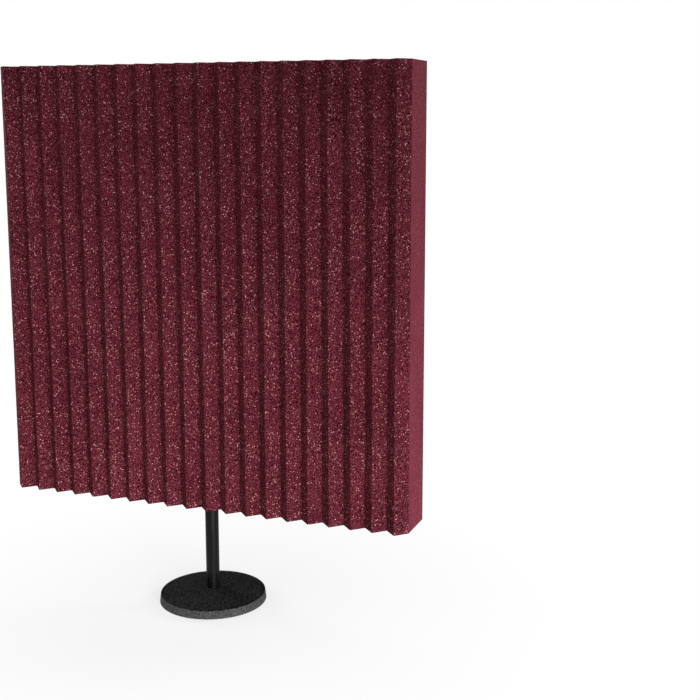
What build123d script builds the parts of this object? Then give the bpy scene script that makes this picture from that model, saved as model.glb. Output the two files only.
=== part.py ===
"""Free-standing acoustic isolation panel on a round-base pole stand.

A square slab of wedge-cut foam with a textured sheet bonded to its back stands on a short vertical
pole. The pole plugs into a moulded socket in the panel's lower edge, so the panel turns about the
pole and lifts off it. The pole is bolted into a heavy domed cast base with rubber feet.

Frame: millimetres, +Z up, origin on the table below the pole's axis. The ridged face looks along -Y.
"""

import os

from build123d import *

# Panel: a 24 x 24 x 3 inch foam tile with a sheet glued to its back
panel_width = 609.6
panel_height = 609.6
panel_thickness = 76.2
panel_bottom = 147.0
ridge_count = 20
ridge_depth = 15.24
backing_thickness = 1.6
adhesive_thickness = 0.5
adhesive_inset = 2.0

# Pole: a 12 inch length of 3/4 inch steel tube
tube_radius = 9.525
tube_bore_radius = 8.0
tube_length = 304.8
tube_end_chamfer = 0.4

# Base casting
base_radius = 76.2
base_draft = 1.4
base_rim_height = 13.2
base_centre_height = 19.0
base_lip_width = 1.4
base_lip_drop = 1.2
base_edge_radius = 0.9
base_recess_radius = 45.0
base_recess_ceiling = 6.5
bolt_pocket_radius = 11.0
bolt_pocket_ceiling = 10.4
bolt_hole_radius = 4.4
web_top = 14.6
tube_seat_clearance = 0.075
dome_fullness = 0.66

# Rubber feet
foot_count = 4
foot_radius = 7.0
foot_circle_radius = 60.5
foot_height = 3.2
foot_projection = 1.2
foot_clearance = 0.1
foot_edge = 0.6

# M8 fastening from below
bolt_radius = 4.0
bolt_length = 25.0
bolt_head_height = 5.3
bolt_head_flats = 13.0
bolt_edge = 0.5
washer_thickness = 1.6
washer_radius = 8.0
lock_washer_thickness = 2.0
lock_washer_radius = 7.2
lock_washer_gap = 1.4
lock_washer_slant = 25.0
plug_length = 20.0

# Threaded tip: 5/8 inch, 27 threads to the inch
thread_radius = 7.9375
thread_pitch = 25.4 / 27
thread_depth = 0.5
thread_turns = 13
thread_end_length = 0.6
tip_spigot_length = 15.0
tip_flange_thickness = 2.0

# Cap that turns on the thread and carries the panel
cap_radius = 9.4
cap_bore_radius = 8.0
cap_underside_gap = 0.3
cap_thread_gap = 0.4
cap_top_thickness = 3.2
cap_edge_radius = 1.6

# Socket in the panel's lower edge
socket_bore_radius = 9.6
socket_radius = 11.6
socket_lead_in = 1.0
socket_flange_radius = 18.0
socket_flange_thickness = 1.8
socket_flange_edge = 0.8
stop_length = 8.0
stop_gap = 0.3

# Places worked out from the sizes above
ridge_pitch = panel_width / ridge_count
slab_depth = panel_thickness - ridge_depth
back_y = slab_depth / 2
valley_y = back_y - slab_depth
tip_y = valley_y - ridge_depth
foam_back_y = back_y - backing_thickness - adhesive_thickness
panel_centre_height = panel_bottom + panel_height / 2
base_bottom = foot_projection
dome_radius = base_radius - base_draft - base_lip_width
dome_height = base_rim_height - base_lip_drop
tube_bottom = web_top
tube_top = tube_bottom + tube_length
washer_bottom = bolt_pocket_ceiling - washer_thickness
lock_washer_bottom = washer_bottom - lock_washer_thickness
thread_bottom = tube_top + tip_flange_thickness
thread_top = thread_bottom + thread_turns * thread_pitch + thread_end_length
cap_bottom = thread_bottom + cap_underside_gap
cap_bore_top = thread_top + cap_thread_gap
cap_top = cap_bore_top + cap_top_thickness
stop_bottom = cap_top + stop_gap
socket_top = stop_bottom + stop_length
socket_mouth = panel_bottom - socket_flange_thickness


# ------------------------------------------------------------------ stand

# Cast base: a drafted rim, a narrow lip, and a low dome that rises to the pole
with BuildPart() as base:
    with BuildSketch(Plane.XZ):
        with BuildLine():
            dome = ThreePointArc(
                (dome_radius, dome_height),
                (
                    (dome_radius + tube_radius) / 2,
                    dome_height + dome_fullness * (base_centre_height - dome_height),
                ),
                (tube_radius, base_centre_height),
            )
            Polyline(
                dome @ 1,
                (0, base_centre_height),
                (0, base_bottom),
                (base_radius, base_bottom),
                (base_radius - base_draft, base_rim_height),
                (dome_radius, base_rim_height),
                dome @ 0,
            )
        make_face()
    revolve(axis=Axis.Z)
    lip_edges = base.edges().filter_by(GeomType.CIRCLE).filter_by(
        lambda edge: abs(edge.center().Z - base_rim_height) < 0.01
        and edge.radius > dome_radius + base_lip_width / 2
    )
    fillet(lip_edges, base_edge_radius)
    # recess, bolt pocket, bolt hole and the pole's seat, all on the axis
    with BuildSketch(Plane.XY.offset(base_bottom)):
        Circle(base_recess_radius)
    extrude(amount=base_recess_ceiling - base_bottom, mode=Mode.SUBTRACT)
    with BuildSketch(Plane.XY.offset(base_bottom)):
        Circle(bolt_pocket_radius)
    extrude(amount=bolt_pocket_ceiling - base_bottom, mode=Mode.SUBTRACT)
    with BuildSketch(Plane.XY.offset(bolt_pocket_ceiling)):
        Circle(bolt_hole_radius)
    extrude(amount=web_top - bolt_pocket_ceiling, mode=Mode.SUBTRACT)
    with BuildSketch(Plane.XY.offset(web_top)):
        Circle(tube_radius + tube_seat_clearance)
    extrude(amount=base_centre_height - web_top, mode=Mode.SUBTRACT)
    # shallow pockets for the feet
    with BuildSketch(Plane.XY.offset(base_bottom)):
        with PolarLocations(foot_circle_radius, foot_count, start_angle=45):
            Circle(foot_radius + foot_clearance)
    extrude(amount=foot_height - foot_projection, mode=Mode.SUBTRACT)
base.part.label = "base_casting"

# Rubber feet
feet = []
for place in PolarLocations(foot_circle_radius, foot_count, start_angle=45):
    with BuildPart() as foot:
        with BuildSketch(Plane(place)):
            Circle(foot_radius)
        extrude(amount=foot_height)
        chamfer(foot.edges().group_by(Axis.Z)[0], foot_edge)
    foot.part.label = f"rubber_foot_{len(feet) + 1}"
    feet.append(foot)

# Steel pole
with BuildPart() as tube:
    with BuildSketch(Plane.XY.offset(tube_bottom)):
        Circle(tube_radius)
        Circle(tube_bore_radius, mode=Mode.SUBTRACT)
    extrude(amount=tube_length)
    tube_ends = tube.edges().filter_by(GeomType.CIRCLE).filter_by(
        lambda edge: edge.radius > tube_bore_radius + tube_end_chamfer
    )
    chamfer(tube_ends, tube_end_chamfer)
tube.part.label = "stand_tube"

# Tapped plug pressed into the pole's lower end
with BuildPart() as plug:
    with BuildSketch(Plane.XY.offset(tube_bottom)):
        Circle(tube_bore_radius)
        Circle(bolt_radius, mode=Mode.SUBTRACT)
    extrude(amount=plug_length)
plug.part.label = "tube_plug"

# Hexagon-head bolt that pulls the plug down on the casting
with BuildPart() as bolt:
    with BuildSketch(Plane.XY.offset(lock_washer_bottom - bolt_head_height)):
        RegularPolygon(bolt_head_flats / 2, 6, major_radius=False)
    extrude(amount=bolt_head_height)
    with BuildSketch(Plane.XY.offset(lock_washer_bottom)):
        Circle(bolt_radius)
    extrude(amount=bolt_length)
    bolt_levels = bolt.edges().group_by(Axis.Z)
    chamfer(bolt_levels[0] + bolt_levels[-1], bolt_edge)
bolt.part.label = "base_bolt"

with BuildPart() as washer:
    with BuildSketch(Plane.XY.offset(washer_bottom)):
        Circle(washer_radius)
        Circle(bolt_hole_radius, mode=Mode.SUBTRACT)
    extrude(amount=washer_thickness)
washer.part.label = "flat_washer"

# Spring washer, slit through at a slant
with BuildPart() as lock_washer:
    with BuildSketch(Plane.XY.offset(lock_washer_bottom)):
        Circle(lock_washer_radius)
        Circle(bolt_hole_radius, mode=Mode.SUBTRACT)
    extrude(amount=lock_washer_thickness)
    with BuildSketch(Plane.YZ):
        with Locations((0, lock_washer_bottom + lock_washer_thickness / 2)):
            Rectangle(lock_washer_gap, 4 * lock_washer_thickness, rotation=lock_washer_slant)
    extrude(amount=lock_washer_radius, mode=Mode.SUBTRACT)
lock_washer.part.label = "lock_washer"

# Threaded tip: a spigot in the pole, a flange on its end, and the thread as rings
thread_outline = []
for turn in range(thread_turns):
    root_height = thread_bottom + turn * thread_pitch
    thread_outline.append((thread_radius - thread_depth, root_height))
    thread_outline.append((thread_radius, root_height + thread_pitch / 2))
with BuildPart() as tip:
    with BuildSketch(Plane.XZ):
        with BuildLine():
            Polyline(
                (0, thread_top),
                (0, tube_top - tip_spigot_length),
                (tube_bore_radius, tube_top - tip_spigot_length),
                (tube_bore_radius, tube_top),
                (tube_radius, tube_top),
                (tube_radius, thread_bottom),
                *thread_outline,
                (thread_radius - thread_depth, thread_top - thread_end_length),
                (thread_radius - thread_depth - thread_end_length, thread_top),
                close=True,
            )
        make_face()
    revolve(axis=Axis.Z)
tip.part.label = "threaded_tip"

# Plastic cap over the thread: the panel rests on it and turns with it
with BuildPart() as cap:
    with BuildSketch(Plane.XY.offset(cap_bottom)):
        Circle(cap_radius)
    extrude(amount=cap_top - cap_bottom)
    fillet(cap.edges().group_by(Axis.Z)[-1], cap_edge_radius)
    with BuildSketch(Plane.XY.offset(cap_bottom)):
        Circle(cap_bore_radius)
    extrude(amount=cap_bore_top - cap_bottom, mode=Mode.SUBTRACT)
cap.part.label = "thread_cap"


# ------------------------------------------------------------------ panel

# Foam slab: right-angled ridges run up its front, and the socket's bore rises from its lower edge
ridge_outline = []
for ridge in range(ridge_count):
    ridge_left = ridge * ridge_pitch - panel_width / 2
    ridge_outline.append((ridge_left, valley_y))
    ridge_outline.append((ridge_left + ridge_pitch / 2, tip_y))
with BuildPart() as foam:
    with BuildSketch(Plane.XY.offset(panel_bottom)):
        with BuildLine():
            Polyline(
                (-panel_width / 2, foam_back_y),
                *ridge_outline,
                (panel_width / 2, valley_y),
                (panel_width / 2, foam_back_y),
                close=True,
            )
        make_face()
    extrude(amount=panel_height)
    with BuildSketch(Plane.XY.offset(panel_bottom)):
        Circle(socket_radius)
    extrude(amount=socket_top - panel_bottom, mode=Mode.SUBTRACT)
foam.part.label = "wedge_foam"

# Glue film, set in from the edges
with BuildPart() as adhesive:
    with BuildSketch(Plane.XZ.offset(-foam_back_y)):
        with Locations((0, panel_centre_height)):
            Rectangle(panel_width - 2 * adhesive_inset, panel_height - 2 * adhesive_inset)
    extrude(amount=-adhesive_thickness)
adhesive.part.label = "adhesive_film"

# Textured sheet on the back
with BuildPart() as backing:
    with BuildSketch(Plane.XZ.offset(-foam_back_y - adhesive_thickness)):
        with Locations((0, panel_centre_height)):
            Rectangle(panel_width, panel_height)
    extrude(amount=-backing_thickness)
backing.part.label = "backing_sheet"

# Moulded socket with a flange under the foam
with BuildPart() as socket:
    with BuildSketch(Plane.XY.offset(socket_mouth)):
        Circle(socket_flange_radius)
    extrude(amount=socket_flange_thickness)
    fillet(socket.edges().group_by(Axis.Z)[0], socket_flange_edge)
    with BuildSketch(Plane.XY.offset(panel_bottom)):
        Circle(socket_radius)
    extrude(amount=socket_top - panel_bottom)
    with BuildSketch(Plane.XY.offset(socket_mouth)):
        Circle(socket_bore_radius)
    extrude(amount=socket_top - socket_mouth, mode=Mode.SUBTRACT)
    mouth_edges = socket.edges().filter_by(GeomType.CIRCLE).filter_by(
        lambda edge: edge.radius < socket_bore_radius + 0.01 and edge.center().Z < panel_bottom
    )
    chamfer(mouth_edges, socket_lead_in)
socket.part.label = "pole_socket"

# Plug that closes the socket and rests on the cap
with BuildPart() as stop:
    with BuildSketch(Plane.XY.offset(stop_bottom)):
        Circle(socket_bore_radius)
    extrude(amount=stop_length)
stop.part.label = "socket_stop"


# ------------------------------------------------------------------ export

pieces = [base, *feet, tube, plug, bolt, washer, lock_washer, tip, cap]
pieces += [foam, adhesive, backing, socket, stop]

os.makedirs("parts", exist_ok=True)
for piece in pieces:
    export_step(piece.part, f"parts/{piece.part.label}.step")
    box = piece.part.bounding_box()
    print(f"{piece.part.label}: {len(piece.part.solids())} solids, z {box.min.Z:.1f} to {box.max.Z:.1f}")
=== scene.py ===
"""Looks for a free-standing acoustic isolation panel on a round-base stand.

The foam slab and the textured back sheet are meshed here; the stand, the cap and the socket keep
their CAD shapes and get their finishes. Metres, +Z up, the ridged face looks along -Y.
"""

from math import asin, pi, radians, sin, sqrt

import bmesh
import bpy
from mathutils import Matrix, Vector, noise


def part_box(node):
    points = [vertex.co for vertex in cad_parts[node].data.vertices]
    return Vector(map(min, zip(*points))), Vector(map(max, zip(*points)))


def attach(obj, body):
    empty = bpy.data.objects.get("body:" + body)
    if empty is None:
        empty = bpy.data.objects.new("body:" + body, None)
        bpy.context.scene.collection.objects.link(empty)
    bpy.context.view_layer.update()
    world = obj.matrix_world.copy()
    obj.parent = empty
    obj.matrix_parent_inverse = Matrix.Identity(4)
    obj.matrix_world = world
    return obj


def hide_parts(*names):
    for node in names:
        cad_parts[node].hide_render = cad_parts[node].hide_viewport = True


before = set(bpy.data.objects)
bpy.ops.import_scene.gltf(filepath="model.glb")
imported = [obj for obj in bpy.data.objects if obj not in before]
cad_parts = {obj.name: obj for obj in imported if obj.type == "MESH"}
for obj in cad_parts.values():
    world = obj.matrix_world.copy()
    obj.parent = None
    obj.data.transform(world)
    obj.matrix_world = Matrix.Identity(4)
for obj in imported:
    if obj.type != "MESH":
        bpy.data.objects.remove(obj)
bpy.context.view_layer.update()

MM = 0.001

# Foam slab
RIDGES = 20
RIDGE_DEPTH = 15.24 * MM
EDGE_SOFTNESS = 0.9985      # 1 would give knife-sharp ridges and valleys
RIDGE_STEPS = (0.0, 0.012, 0.04, 0.12, 0.25, 0.38, 0.46, 0.488)     # shares of the pitch, to mid-ridge
FOAM_ROWS = 112
FOAM_DEPTH_STEPS = 12
FOAM_EDGE_WANDER = 0.15 * MM
WANDER_PER_METRE = (9, 5)   # waves of the wander along X and Z
WANDER_SLICE = 3.7          # the place along the noise's third axis; any value would do
FOAM_LUMPS = 0.13 * MM
LUMPS_PER_METRE = (140, 330, 90)    # coarse and fine lumps of the front, lumps of the cut sides
FINE_LUMP_SHARE = 0.6
LUMP_OFFSET = 1.2           # keeps nearly all the lumps behind the CAD face
SOCKET_RADIUS = 11.6 * MM
BORE_SIDES = 48
CREASE_DEGREES = 40         # edges sharper than this stay crisp
FRONT_FACING = -0.3         # a face whose normal's Y is below this belongs to the wedges

# Back sheet
SHEET_STEPS = 240
SHEET_RELIEF = 0.25 * MM
GRAIN_LENGTH = 7.5 * MM     # of the folds of the sheet's relief, along their slant
GRAIN_WIDTH = 3.6 * MM
GRAIN_BENDS_PER_METRE = 45
GRAIN_CONTRAST = 1.7

# Colours, linear
FOAM_WALL = (0.205, 0.031, 0.05)
# the pore colours here and below are painted shade in the foam's pores
FOAM_PORE_SHADE = (0.02, 0.0007, 0.003)
# the glint colours here and below are painted glints, bright specks standing in for light caught by cell
# windows
FOAM_PAINTED_GLINT = (1.0, 0.5, 0.52)
# the cut sides' colours are a paler copy of the wedges': painted light, for faces turned more to the lamps;
# their smoother, less pitted surface is their own
CUT_WALL_LIT = (0.215, 0.042, 0.062)
CUT_PORE_SHADE = (0.13, 0.019, 0.032)
CUT_PAINTED_GLINT = (0.42, 0.16, 0.19)
# the sheet's crease colour is painted shade between the grain's strokes, its stroke colour a painted
# highlight on them
SHEET_CREASE_SHADE = (0.001, 0.001, 0.0008)
SHEET_STROKE_HIGHLIGHT = (0.112, 0.118, 0.092)
# the crease colours here and on the next line are painted shade in the crinkle's creases
CRINKLE_TOP = ((0.0008, 0.0008, 0.0008), (0.036, 0.036, 0.036))     # crease, crest
# the rim's paler copy is painted light: the rim faces the lamps and the bright floor more than the top
CRINKLE_RIM_LIT = ((0.035, 0.035, 0.035), (0.1, 0.1, 0.101))
SATIN_BLACK = ((0.0005, 0.0005, 0.0005), (0.003, 0.003, 0.0033))
MOULDED_BLACK = ((0.012, 0.012, 0.012), (0.026, 0.026, 0.026))
RUBBER_BLACK = ((0.012, 0.012, 0.012), (0.045, 0.044, 0.042))
ZINC_GREY = ((0.42, 0.43, 0.43), (0.62, 0.62, 0.58))
DRIED_GLUE = ((0.3, 0.2, 0.09), (0.5, 0.4, 0.22))
FLOOR_PALE = (0.9, 0.9, 0.9, 1.0)


# ------------------------------------------------------------------ meshes


def make_piece(name, points, faces, body, nodes):
    """Makes a mesh piece that rides on a body and stands for the CAD nodes named."""
    mesh = bpy.data.meshes.new(name)
    mesh.from_pydata(points, [], faces)
    mesh.validate()
    piece = bpy.data.objects.new(name, mesh)
    bpy.context.scene.collection.objects.link(piece)
    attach(piece, body)
    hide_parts(*nodes)
    return piece


def smooth_by_angle(mesh, degrees):
    """Smooth shading, with edges sharper than the angle left crisp."""
    form = bmesh.new()
    form.from_mesh(mesh)
    bmesh.ops.recalc_face_normals(form, faces=form.faces)
    for face in form.faces:
        face.smooth = True
    for edge in form.edges:
        edge.smooth = edge.is_manifold and edge.calc_face_angle() < radians(degrees)
    form.to_mesh(mesh)
    form.free()


def shell(columns, layers, rows, place):
    """Points and quads of a closed block, from its surface grid: place(column, layer, row) in steps."""
    index, points, faces = {}, [], []

    def point(*step):
        if step not in index:
            index[step] = len(points)
            points.append(place(*step))
        return index[step]

    def patch(u_count, v_count, step):
        for u in range(u_count):
            for v in range(v_count):
                corners = ((u, v), (u + 1, v), (u + 1, v + 1), (u, v + 1))
                faces.append([point(*step(*corner)) for corner in corners])

    for layer in (0, layers):
        patch(columns, rows, lambda u, v, layer=layer: (u, layer, v))
    for column in (0, columns):
        patch(layers, rows, lambda u, v, column=column: (column, u, v))
    for row in (0, rows):
        patch(columns, layers, lambda u, v, row=row: (u, v, row))
    return points, faces


def ridge_height(fraction):
    """How far the wedge profile stands out, 0 in a valley and 1 on a peak, at a share of the pitch."""
    wave = asin(EDGE_SOFTNESS * sin(2 * pi * (fraction - 0.25))) / asin(EDGE_SOFTNESS)
    return (wave + 1) / 2


def foam_slab():
    """The wedge-cut slab: crisp ridges that wander a little, and a slightly lumpy cut surface."""
    low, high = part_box("wedge_foam")
    pitch = (high.x - low.x) / RIDGES
    valley_y = low.y + RIDGE_DEPTH
    fractions = [ridge + side for ridge in range(RIDGES) for side in ridge_fractions()] + [RIDGES]

    last_column = len(fractions) - 1
    wander_x, wander_z = WANDER_PER_METRE
    coarse, fine, side = LUMPS_PER_METRE

    def place(column, layer, row):
        across = fractions[column] * pitch
        up = low.z + (high.z - low.z) * row / FOAM_ROWS
        front = valley_y - RIDGE_DEPTH * ridge_height(fractions[column] % 1)
        depth = front + (high.y - front) * layer / FOAM_DEPTH_STEPS
        spot = Vector((low.x + across, depth, up))
        on_side = column in (0, last_column)
        if layer == 0:
            wander = noise.noise(Vector((spot.x * wander_x, WANDER_SLICE, up * wander_z)))
            lump = noise.noise(spot * coarse) + FINE_LUMP_SHARE * noise.noise(spot * fine)
            spot.y += FOAM_LUMPS * (lump + LUMP_OFFSET)
            if not on_side:
                spot.x += FOAM_EDGE_WANDER * wander
        if on_side and layer < FOAM_DEPTH_STEPS and 0 < row < FOAM_ROWS:
            inward = 1 - 2 * column / last_column
            spot.x += inward * FOAM_LUMPS * (1 + noise.noise(spot * side))
        return spot

    points, faces = shell(last_column, FOAM_DEPTH_STEPS, FOAM_ROWS, place)
    return make_piece("foam_slab", points, faces, "panel", ["wedge_foam"])


def ridge_fractions():
    """Steps across one ridge, closer together at its valley and its peak."""
    rising = list(RIDGE_STEPS)
    return rising + [0.5] + [1 - step for step in reversed(rising[1:])]


def cut_bore(piece, radius, bottom, top):
    """Cuts a round hole along the Z axis, from bottom to top."""
    bpy.ops.mesh.primitive_cylinder_add(
        vertices=BORE_SIDES, radius=radius, depth=top - bottom, location=(0, 0, (top + bottom) / 2)
    )
    cutter = bpy.context.object
    cut = piece.modifiers.new("bore", "BOOLEAN")
    cut.operation = "DIFFERENCE"
    cut.object = cutter
    evaluated = piece.evaluated_get(bpy.context.evaluated_depsgraph_get())
    cut_mesh = bpy.data.meshes.new_from_object(evaluated)
    piece.modifiers.clear()
    piece.data = cut_mesh
    bpy.data.objects.remove(cutter)


def grain_height(x, z):
    """The sheet's relief, 0 in a hollow and 1 on a fold; the folds slant up towards -X."""
    along, across = (z - x) / sqrt(2), (z + x) / sqrt(2)
    bend = noise.noise(Vector((x, z, 0)) * GRAIN_BENDS_PER_METRE) * GRAIN_WIDTH
    value = noise.noise(Vector((along / GRAIN_LENGTH, (across + bend) / GRAIN_WIDTH, 0)))
    return min(max(0.5 + GRAIN_CONTRAST * value, 0), 1)


def back_sheet():
    """The sheet on the back: its outer face has a slight relief, its glued face is flat."""
    low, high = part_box("backing_sheet")
    across, up = high.x - low.x, high.z - low.z
    steps = range(SHEET_STEPS + 1)
    points, faces = [], []
    for row in steps:
        for column in steps:
            x = low.x + across * column / SHEET_STEPS
            z = low.z + up * row / SHEET_STEPS
            points.append((x, high.y - SHEET_RELIEF * (1 - grain_height(x, z)), z))
    width = len(steps)
    for row in range(SHEET_STEPS):
        for column in range(SHEET_STEPS):
            corner = row * width + column
            faces.append((corner, corner + 1, corner + width + 1, corner + width))
    last = SHEET_STEPS * width
    rim = list(range(SHEET_STEPS)) + [row * width + SHEET_STEPS for row in range(SHEET_STEPS)]
    rim += [last + SHEET_STEPS - step for step in range(SHEET_STEPS)]
    rim += [last - row * width for row in range(SHEET_STEPS)]
    glued = range(len(points), len(points) + len(rim))
    points += [(points[index][0], low.y, points[index][2]) for index in rim]
    for step in range(len(rim)):
        after = (step + 1) % len(rim)
        faces.append((rim[step], glued[step], glued[after], rim[after]))
    faces.append(list(glued))
    return make_piece("back_sheet", points, faces, "panel", ["backing_sheet"])


# ------------------------------------------------------------------ materials


class Recipe:
    """A material under construction, with a short call for each kind of node that is used here."""

    def __init__(self, name):
        self.material = bpy.data.materials.new(name)
        self.material.use_nodes = True
        self.tree = self.material.node_tree
        self.shader = self.tree.nodes["Principled BSDF"]
        self.place = self.node("ShaderNodeTexCoord").outputs["Object"]

    def node(self, kind, **inputs):
        """A node of a kind, with values or sockets fed to the inputs named."""
        made = self.tree.nodes.new(kind)
        for name, value in inputs.items():
            self.feed(made.inputs[name.replace("_", " ")], value)
        return made

    def feed(self, socket, value):
        """Links a socket to another, or sets its value."""
        if isinstance(value, bpy.types.NodeSocket):
            self.tree.links.new(value, socket)
        else:
            socket.default_value = value

    def noise(self, scale, detail=2.0, distortion=0.0, place=None):
        """Noise, mostly between 0.35 and 0.65."""
        made = self.node(
            "ShaderNodeTexNoise", Vector=place or self.place, Scale=scale, Detail=detail,
            Distortion=distortion,
        )
        return made.outputs["Fac"]

    def warped(self, scale, amount):
        """The place, pushed about by noise."""
        push = self.node("ShaderNodeTexNoise", Vector=self.place, Scale=scale, Detail=1.0)
        mixed = self.node("ShaderNodeMix")
        mixed.data_type = "VECTOR"
        mixed.inputs[0].default_value = amount
        self.feed(mixed.inputs[4], self.place)
        self.feed(mixed.inputs[5], push.outputs["Color"])
        return mixed.outputs[1]

    def cells(self, scale, feature="F1", place=None):
        """Cells around scattered points, with the distance to the nearest point."""
        made = self.node("ShaderNodeTexVoronoi", Vector=place or self.place, Scale=scale)
        made.feature = feature
        return made

    def combine(self, operation, first, second):
        made = self.node("ShaderNodeMath")
        made.operation = operation
        self.feed(made.inputs[0], first)
        self.feed(made.inputs[1], second)
        return made.outputs[0]

    def span(self, value, low, high, to_low=0.0, to_high=1.0):
        """Maps low..high to to_low..to_high, and holds it there."""
        made = self.node("ShaderNodeMapRange", Value=value)
        made.inputs["From Min"].default_value = low
        made.inputs["From Max"].default_value = high
        made.inputs["To Min"].default_value = to_low
        made.inputs["To Max"].default_value = to_high
        return made.outputs["Result"]

    def blend(self, factor, first, second):
        """A colour between two, each an RGB triple or a socket."""
        made = self.node("ShaderNodeMix")
        made.data_type = "RGBA"
        self.feed(made.inputs[0], factor)
        for socket, colour in ((made.inputs[6], first), (made.inputs[7], second)):
            is_socket = isinstance(colour, bpy.types.NodeSocket)
            self.feed(socket, colour if is_socket else (*colour, 1.0))
        return made.outputs[2]

    def bump(self, height, depth):
        """A bump of the given depth in metres."""
        made = self.node("ShaderNodeBump", Height=height, Distance=depth, Strength=1.0)
        return made.outputs["Normal"]

    def finish(self, colour, roughness, normal=None, **others):
        """Feeds the shader, and gives back the finished material."""
        self.feed(self.shader.inputs["Base Color"], colour)
        self.feed(self.shader.inputs["Roughness"], roughness)
        if normal is not None:
            self.feed(self.shader.inputs["Normal"], normal)
        for name, value in others.items():
            self.feed(self.shader.inputs[name.replace("_", " ")], value)
        return self.material


def foam_finish(name, wall, pore_shade, painted_glint, share, pit_depth):
    """Open-cell foam: painted shade in the pores between cell walls, and painted glints where cell windows
    would catch the light.
    """
    look = Recipe(name)
    ragged = look.warped(scale=1100, amount=1.1 * MM)
    cell = look.cells(820, place=ragged).outputs["Distance"]
    fine = look.noise(1500, detail=1.0)
    height = look.combine("ADD", cell, look.combine("MULTIPLY", fine, 0.7))
    patches = look.span(look.noise(16, detail=3.0), low=0.3, high=0.7, to_low=0.88, to_high=1.12)
    # the pore colour darkens the cells' hollows: painted shade
    surface = look.blend(look.span(height, low=0.72, high=1.0), wall, pore_shade)
    tone = look.node("ShaderNodeVectorMath", Vector=surface)
    tone.operation = "SCALE"
    look.feed(tone.inputs["Scale"], patches)
    colour = tone.outputs[0]
    crowd = look.span(look.noise(14, detail=3.0), low=0.35, high=0.7, to_low=0.8, to_high=1.3)
    # painted glints: bright specks put into the colour, wherever the lamps are
    faint_and_many = (1000, 1.0, 0.3)
    bright_and_few = (780, 0.42, 1.0)
    for scale, part, strength in (faint_and_many, bright_and_few):
        window = look.cells(scale, place=ragged)
        draw = look.node("ShaderNodeSeparateColor", Color=window.outputs["Color"]).outputs["Red"]
        chosen = look.combine("LESS_THAN", draw, look.combine("MULTIPLY", crowd, share * part))
        near = look.span(window.outputs["Distance"], low=0.6, high=0.32, to_low=0.0, to_high=strength)
        colour = look.blend(look.combine("MULTIPLY", chosen, near), colour, painted_glint)
    roughness = look.span(fine, low=0.3, high=0.7, to_low=0.9, to_high=1.0)
    return look.finish(colour, roughness, look.bump(height, -pit_depth), Specular_IOR_Level=0.04)


def sheet_finish():
    """Black sheet with a grain of short strokes that slant up towards -X; the strokes' grey is a painted
    highlight and the near-black between them painted shade.
    """
    look = Recipe("pebbled_black")
    slanted = look.node("ShaderNodeMapping", Vector=look.place, Rotation=(0, radians(38), 0))
    slanted.vector_type = "TEXTURE"
    bands = look.node(
        "ShaderNodeTexWave", Vector=slanted.outputs["Vector"], Scale=93, Distortion=5.5,
        Detail=1.0, Detail_Scale=2.2,
    )
    bands.bands_direction = "Z"
    breaks = look.span(look.noise(390, detail=1.0), low=0.35, high=0.53, to_low=0.1, to_high=1.0)
    broken = look.combine("MULTIPLY", bands.outputs["Fac"], breaks)
    stroke = look.span(broken, low=0.38, high=0.88)
    roughness = look.span(stroke, low=0.0, high=1.0, to_low=0.6, to_high=0.4)
    # painted highlight on the strokes, painted shade between them
    colour = look.blend(stroke, SHEET_CREASE_SHADE, SHEET_STROKE_HIGHLIGHT)
    return look.finish(colour, roughness, look.bump(stroke, 0.8 * MM), Specular_IOR_Level=0.1)


def crinkle_finish():
    """Black crinkle powder coat, with painted shade in its creases and painted light down the rim, which
    faces the lamps and the bright floor more than the top.
    """
    look = Recipe("crinkle_coat")
    ripple = look.noise(420, detail=2.0, distortion=0.8)
    normal = look.node("ShaderNodeNewGeometry").outputs["Normal"]
    facing = look.node("ShaderNodeSeparateXYZ", Vector=normal)
    # painted light: faces that turn sideways, down the rim, get the paler rim colours
    rim = look.span(facing.outputs["Z"], low=0.7, high=0.4)
    crease_shade = look.blend(rim, CRINKLE_TOP[0], CRINKLE_RIM_LIT[0])
    crest = look.blend(rim, CRINKLE_TOP[1], CRINKLE_RIM_LIT[1])
    # painted shade in the crinkle's creases
    colour = look.blend(look.span(ripple, low=0.4, high=0.7), crease_shade, crest)
    roughness = look.span(ripple, low=0.3, high=0.7, to_low=0.7, to_high=0.5)
    return look.finish(colour, roughness, look.bump(ripple, 1.8 * MM), Specular_IOR_Level=0.06)


def satin_finish():
    """Satin black paint on the pole, with a faint orange peel and rubbed streaks."""
    look = Recipe("satin_black")
    peel = look.noise(520, detail=1.0)
    stretched = look.node("ShaderNodeMapping", Vector=look.place, Scale=(1.0, 1.0, 0.06))
    streak = look.noise(260, detail=2.0, place=stretched.outputs["Vector"])
    roughness = look.span(streak, low=0.3, high=0.7, to_low=0.2, to_high=0.3)
    colour = look.blend(streak, *SATIN_BLACK)
    return look.finish(colour, roughness, look.bump(peel, 0.06 * MM), Specular_IOR_Level=0.45)


def moulded_finish():
    """Black moulding with a fine spark-eroded texture."""
    look = Recipe("moulded_plastic")
    spark = look.noise(1800, detail=2.0)
    roughness = look.span(spark, low=0.3, high=0.7, to_low=0.45, to_high=0.6)
    return look.finish(look.blend(spark, *MOULDED_BLACK), roughness, look.bump(spark, 0.1 * MM))


def rubber_finish():
    """Matte black rubber with a little dust."""
    look = Recipe("black_rubber")
    dust = look.noise(500, detail=3.0)
    colour = look.blend(look.span(dust, low=0.5, high=0.8), *RUBBER_BLACK)
    return look.finish(colour, 0.82, look.bump(dust, 0.1 * MM))


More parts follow.
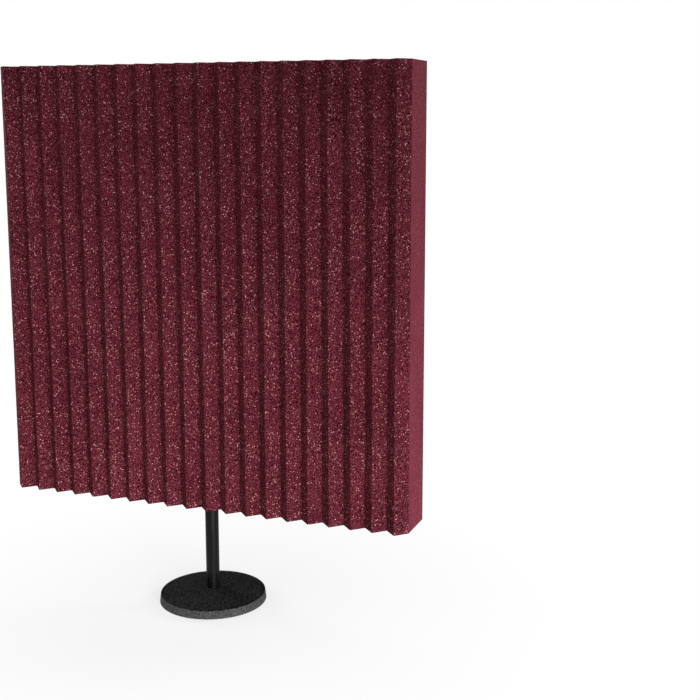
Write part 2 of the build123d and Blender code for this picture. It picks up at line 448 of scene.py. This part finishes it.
def zinc_finish():
    """Zinc plate: pale grey, a little cloudy, with fine turning marks."""
    look = Recipe("zinc_plate")
    turned = look.node("ShaderNodeMapping", Vector=look.place, Scale=(0.2, 0.2, 6.0))
    marks = look.noise(700, detail=2.0, place=turned.outputs["Vector"])
    cloud = look.noise(150, detail=2.0)
    roughness = look.span(marks, low=0.3, high=0.7, to_low=0.25, to_high=0.42)
    colour = look.blend(cloud, *ZINC_GREY)
    return look.finish(colour, roughness, look.bump(marks, 0.05 * MM), Metallic=1.0)


def glue_finish():
    """Dried contact adhesive, in low blobs."""
    look = Recipe("dried_glue")
    blobs = look.cells(400, "SMOOTH_F1").outputs["Distance"]
    return look.finish(look.blend(blobs, *DRIED_GLUE), 0.45, look.bump(blobs, 0.3 * MM))


def paint(nodes, material):
    """Gives CAD nodes a finish."""
    for name in nodes:
        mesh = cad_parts[name].data
        mesh.materials.clear()
        mesh.materials.append(material)


# ------------------------------------------------------------------ the part

foam = foam_slab()
cut_bore(foam, SOCKET_RADIUS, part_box("pole_socket")[0].z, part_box("socket_stop")[1].z)
smooth_by_angle(foam.data, CREASE_DEGREES)
wedge_face = foam_finish(
    "foam_wedges", FOAM_WALL, FOAM_PORE_SHADE, FOAM_PAINTED_GLINT, share=0.1, pit_depth=1.0 * MM
)
# the cut sides get a paler copy of the foam: painted light, for faces turned more to the lamps
cut_face = foam_finish(
    "foam_cut_side", CUT_WALL_LIT, CUT_PORE_SHADE, CUT_PAINTED_GLINT, share=0.12, pit_depth=0.5 * MM
)
foam.data.materials.clear()
foam.data.materials.append(wedge_face)
foam.data.materials.append(cut_face)
for face in foam.data.polygons:
    face.material_index = 0 if face.normal.y < FRONT_FACING else 1

sheet = back_sheet()
smooth_by_angle(sheet.data, CREASE_DEGREES)
sheet.data.materials.append(sheet_finish())

paint(["base_casting"], crinkle_finish())
paint(["stand_tube"], satin_finish())
paint(["thread_cap", "pole_socket", "socket_stop"], moulded_finish())
paint([f"rubber_foot_{number}" for number in range(1, 5)], rubber_finish())
paint(["base_bolt", "flat_washer", "lock_washer", "tube_plug", "threaded_tip"], zinc_finish())
paint(["adhesive_film"], glue_finish())

# ------------------------------------------------------------------ stage


FLOOR_RADIUS = 8.0
FLOOR_SIDES = 96
FLOOR_FADE = (0.08, 0.5)        # metres from the part's axis over which the floor turns white
FLOOR_WHITE = (0.7, 1.0)        # how white it is at either end of the fade
FLOOR_LIGHT = (0.25, 1.0)       # the white's strength as a light, and to the camera

AMBIENT_LIGHT = 0.4
AMBIENT_REFLECTION = 0.06

MIDDLE = (0, 0, 0.4)
LOW_LEFT = (-0.25, 0, -0.15)

CAMERA_PLACE = (0.7559, -1.4329, 0.677)
CAMERA_DOWN = radians(9.246)
CAMERA_TURN = radians(20.815)
CAMERA_LENS = 60.3              # millimetres, on a 36 mm sensor
CAMERA_SHIFT = -0.05


def make_floor():
    """A pale floor that fades into the white of the surround away from the part."""
    bpy.ops.mesh.primitive_circle_add(
        vertices=FLOOR_SIDES, radius=FLOOR_RADIUS, fill_type="NGON", location=(0, 0, 0)
    )
    floor = bpy.context.object
    floor.name = "studio_floor"
    look = Recipe("pale_floor")
    far = look.node("ShaderNodeVectorMath", Vector=look.place)
    far.operation = "LENGTH"
    glow = look.span(far.outputs["Value"], *FLOOR_FADE, *FLOOR_WHITE)
    look.finish(FLOOR_PALE, 0.9, Specular_IOR_Level=0.1)
    path = look.node("ShaderNodeLightPath")
    strength = look.span(path.outputs["Is Camera Ray"], 0, 1, *FLOOR_LIGHT)
    white = look.node("ShaderNodeEmission", Strength=strength)
    mixed = look.node("ShaderNodeMixShader")
    look.feed(mixed.inputs[0], glow)
    look.feed(mixed.inputs[1], look.shader.outputs[0])
    look.feed(mixed.inputs[2], white.outputs[0])
    look.feed(look.tree.nodes["Material Output"].inputs["Surface"], mixed.outputs[0])
    floor.data.materials.append(look.material)


def make_light(name, place, aim, width, height, watts, spread=180, shine=True):
    """A softbox turned to an aim, with its beam's spread in degrees; shine=False leaves it out of gloss."""
    lamp = bpy.data.lights.new(name, "AREA")
    lamp.shape = "RECTANGLE"
    lamp.size = width
    lamp.size_y = height
    lamp.energy = watts
    lamp.spread = radians(spread)
    holder = bpy.data.objects.new(name, lamp)
    holder.visible_glossy = shine
    holder.location = place
    holder.rotation_euler = (Vector(aim) - Vector(place)).to_track_quat("-Z", "Y").to_euler()
    bpy.context.scene.collection.objects.link(holder)


def make_world(ambient, reflected):
    """An even white surround: white to the eye, weaker as a light and weaker still in reflections."""
    world = bpy.data.worlds.new("white_surround")
    world.use_nodes = True
    nodes, links = world.node_tree.nodes, world.node_tree.links
    path = nodes.new("ShaderNodeLightPath")
    unseen = nodes.new("ShaderNodeMapRange")
    unseen.inputs["To Min"].default_value = ambient
    unseen.inputs["To Max"].default_value = reflected
    links.new(path.outputs["Is Glossy Ray"], unseen.inputs["Value"])
    strength = nodes.new("ShaderNodeMapRange")
    links.new(unseen.outputs["Result"], strength.inputs["To Min"])
    links.new(path.outputs["Is Camera Ray"], strength.inputs["Value"])
    background = nodes["Background"]
    background.inputs["Color"].default_value = (1.0, 1.0, 1.0, 1.0)
    links.new(strength.outputs["Result"], background.inputs["Strength"])
    bpy.context.scene.world = world


def make_camera():
    """Stands to the right of the ridged face, above its middle, and looks a little down."""
    lens = bpy.data.cameras.new("camera")
    lens.sensor_width = 36.0
    lens.lens = CAMERA_LENS
    lens.shift_y = CAMERA_SHIFT
    camera = bpy.data.objects.new("camera", lens)
    camera.location = CAMERA_PLACE
    camera.rotation_euler = (radians(90) - CAMERA_DOWN, 0, CAMERA_TURN)
    bpy.context.scene.collection.objects.link(camera)
    bpy.context.scene.camera = camera


make_floor()
make_world(AMBIENT_LIGHT, AMBIENT_REFLECTION)
make_light(
    "key_right", (1.9, -1.9, 0.35), aim=LOW_LEFT, width=1.0, height=0.8, watts=8.5, spread=50
)
make_light(
    "fill_left", (-1.0, -2.6, 1.0), aim=MIDDLE, width=1.2, height=1.2, watts=12, shine=False
)
make_light("back_right", (2.1, 1.5, 1.3), aim=MIDDLE, width=0.8, height=0.8, watts=32)
make_light("back_left", (-2.6, 0.8, 0.8), aim=MIDDLE, width=0.8, height=0.8, watts=42)
make_camera()
bpy.context.scene.view_settings.view_transform = "Standard"
